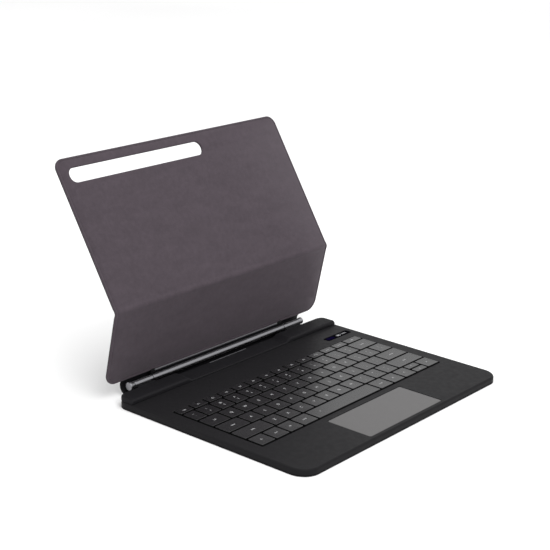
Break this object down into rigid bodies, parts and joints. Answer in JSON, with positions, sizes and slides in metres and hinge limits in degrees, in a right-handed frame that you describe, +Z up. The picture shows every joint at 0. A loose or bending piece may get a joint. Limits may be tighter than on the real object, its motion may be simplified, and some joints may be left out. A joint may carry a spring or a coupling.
{
  "type": "tablet keyboard case",
  "caption": "Keyboard deck with a trackpad, joined by a friction hinge to a folding suede-lined back cover that holds a tablet and has a camera and pen slot.",
  "frame": {"origin": "centre of the deck's flat underside", "axes": "+X to the right along the key rows, +Y to the rear towards the hinge, +Z up"},
  "size_m": [0.308, 0.3024, 0.2168],
  "materials": {
    "leather": "dark charcoal synthetic leather with a fine grain, matt",
    "deck_finish": "dark charcoal coated synthetic leather with a very fine grain, matt",
    "suede": "purple-grey microsuede with a soft brushed nap",
    "keycap": "satin black-grey moulded key caps",
    "pad_surface": "satin grey trackpad surface",
    "display_glass": "gloss black status window",
    "aluminium": "satin grey anodised aluminium",
    "coated_steel": "satin black painted steel",
    "steel": "plain sheet steel",
    "black_plastic": "matt black moulded plastic",
    "circuit": "green printed circuit",
    "cell_foil": "silver-grey pouch of a battery cell",
    "panel_board": "stiffening board"
  },
  "bodies": {
    "deck": {"bottom_skin": "leather", "base_tray": "black_plastic", "top_cover": "deck_finish", "key_backplate": "steel", "switch_membrane": "black_plastic", "main_board": "circuit", "battery_left": "cell_foil", "battery_right": "cell_foil", "trackpad_carrier": "steel", "trackpad_switch": "black_plastic", "display_window": "display_glass", "display_board": "circuit", "charging_socket": "steel", "ridge_ledge": "leather", "ledge_trim": "aluminium", "ridge_block_left": "leather", "ridge_block_right": "leather", "hinge_shaft": "steel", "hinge_bracket_left": "coated_steel", "hinge_bracket_right": "coated_steel", "hinge_knuckle_left": "aluminium", "hinge_knuckle_right": "aluminium", "hinge_cap_left": "aluminium", "hinge_cap_right": "aluminium", "spine_lower": "leather"},
    "lower_cover": {"hinge_barrel": "aluminium", "hinge_leaf": "coated_steel", "clamp_bar": "aluminium", "bar_clip_left": "black_plastic", "bar_clip_right": "black_plastic", "spine_upper": "leather", "lower_outer_skin": "leather", "lower_board": "panel_board", "lower_lining": "suede", "fold_bead": "leather"},
    "upper_cover": {"upper_outer_skin": "leather", "upper_board": "panel_board", "upper_lining": "suede", "magnet_left": "steel", "magnet_right": "steel"},
    "trackpad": {"trackpad_plate": "pad_surface"},
    "left_modifier_keys": {"left_modifier_keys": "keycap"},
    "spacebar": {"spacebar": "keycap"},
    "right_modifier_keys": {"right_modifier_keys": "keycap"},
    "arrow_left_key": {"arrow_left_key": "keycap"},
    "arrow_up_key": {"arrow_up_key": "keycap"},
    "arrow_down_key": {"arrow_down_key": "keycap"},
    "arrow_right_key": {"arrow_right_key": "keycap"},
    "left_shift_key": {"left_shift_key": "keycap"},
    "bottom_letter_keys": {"bottom_letter_keys": "keycap"},
    "right_shift_key": {"right_shift_key": "keycap"},
    "caps_lock_key": {"caps_lock_key": "keycap"},
    "home_letter_keys": {"home_letter_keys": "keycap"},
    "return_key": {"return_key": "keycap"},
    "tab_key": {"tab_key": "keycap"},
    "top_letter_keys": {"top_letter_keys": "keycap"},
    "backslash_key": {"backslash_key": "keycap"},
    "number_keys": {"number_keys": "keycap"},
    "backspace_key": {"backspace_key": "keycap"},
    "function_keys": {"function_keys": "keycap"}
  },
  "joints": [
    {"name": "cover_hinge", "type": "hinge", "parent": "deck", "child": "lower_cover", "pos_m": [0, 0.1195, 0.0099], "axis": [1, 0, 0], "range_deg": [-35, 79.34]},
    {"name": "cover_fold", "type": "hinge", "parent": "lower_cover", "child": "upper_cover", "pos_m": [0, 0.10993, 0.08991], "axis": [1, 0, 0], "range_deg": [-30, 43.16]},
    {"name": "trackpad_click", "type": "hinge", "parent": "deck", "child": "trackpad", "pos_m": [0, -0.0583, 0.0056], "axis": [1, 0, 0], "range_deg": [0, 0.5], "stiffness_Nm_per_rad": 5, "springref_deg": -0.17},
    {"name": "left_modifier_press", "type": "slide", "parent": "deck", "child": "left_modifier_keys", "axis": [0, 0, -1], "range_m": [0, 0.0012], "stiffness_N_per_m": 400, "springref_m": -0.0005},
    {"name": "spacebar_press", "type": "slide", "parent": "deck", "child": "spacebar", "axis": [0, 0, -1], "range_m": [0, 0.0012], "stiffness_N_per_m": 400, "springref_m": -0.0005},
    {"name": "right_modifier_press", "type": "slide", "parent": "deck", "child": "right_modifier_keys", "axis": [0, 0, -1], "range_m": [0, 0.0012], "stiffness_N_per_m": 400, "springref_m": -0.0005},
    {"name": "arrow_left_press", "type": "slide", "parent": "deck", "child": "arrow_left_key", "axis": [0, 0, -1], "range_m": [0, 0.0012], "stiffness_N_per_m": 400, "springref_m": -0.0005},
    {"name": "arrow_up_press", "type": "slide", "parent": "deck", "child": "arrow_up_key", "axis": [0, 0, -1], "range_m": [0, 0.0012], "stiffness_N_per_m": 400, "springref_m": -0.0005},
    {"name": "arrow_down_press", "type": "slide", "parent": "deck", "child": "arrow_down_key", "axis": [0, 0, -1], "range_m": [0, 0.0012], "stiffness_N_per_m": 400, "springref_m": -0.0005},
    {"name": "arrow_right_press", "type": "slide", "parent": "deck", "child": "arrow_right_key", "axis": [0, 0, -1], "range_m": [0, 0.0012], "stiffness_N_per_m": 400, "springref_m": -0.0005},
    {"name": "left_shift_press", "type": "slide", "parent": "deck", "child": "left_shift_key", "axis": [0, 0, -1], "range_m": [0, 0.0012], "stiffness_N_per_m": 400, "springref_m": -0.0005},
    {"name": "bottom_letter_press", "type": "slide", "parent": "deck", "child": "bottom_letter_keys", "axis": [0, 0, -1], "range_m": [0, 0.0012], "stiffness_N_per_m": 400, "springref_m": -0.0005},
    {"name": "right_shift_press", "type": "slide", "parent": "deck", "child": "right_shift_key", "axis": [0, 0, -1], "range_m": [0, 0.0012], "stiffness_N_per_m": 400, "springref_m": -0.0005},
    {"name": "caps_lock_press", "type": "slide", "parent": "deck", "child": "caps_lock_key", "axis": [0, 0, -1], "range_m": [0, 0.0012], "stiffness_N_per_m": 400, "springref_m": -0.0005},
    {"name": "home_letter_press", "type": "slide", "parent": "deck", "child": "home_letter_keys", "axis": [0, 0, -1], "range_m": [0, 0.0012], "stiffness_N_per_m": 400, "springref_m": -0.0005},
    {"name": "return_press", "type": "slide", "parent": "deck", "child": "return_key", "axis": [0, 0, -1], "range_m": [0, 0.0012], "stiffness_N_per_m": 400, "springref_m": -0.0005},
    {"name": "tab_press", "type": "slide", "parent": "deck", "child": "tab_key", "axis": [0, 0, -1], "range_m": [0, 0.0012], "stiffness_N_per_m": 400, "springref_m": -0.0005},
    {"name": "top_letter_press", "type": "slide", "parent": "deck", "child": "top_letter_keys", "axis": [0, 0, -1], "range_m": [0, 0.0012], "stiffness_N_per_m": 400, "springref_m": -0.0005},
    {"name": "backslash_press", "type": "slide", "parent": "deck", "child": "backslash_key", "axis": [0, 0, -1], "range_m": [0, 0.0012], "stiffness_N_per_m": 400, "springref_m": -0.0005},
    {"name": "number_press", "type": "slide", "parent": "deck", "child": "number_keys", "axis": [0, 0, -1], "range_m": [0, 0.0012], "stiffness_N_per_m": 400, "springref_m": -0.0005},
    {"name": "backspace_press", "type": "slide", "parent": "deck", "child": "backspace_key", "axis": [0, 0, -1], "range_m": [0, 0.0012], "stiffness_N_per_m": 400, "springref_m": -0.0005},
    {"name": "function_press", "type": "slide", "parent": "deck", "child": "function_keys", "axis": [0, 0, -1], "range_m": [0, 0.0012], "stiffness_N_per_m": 400, "springref_m": -0.0005}
  ]
}
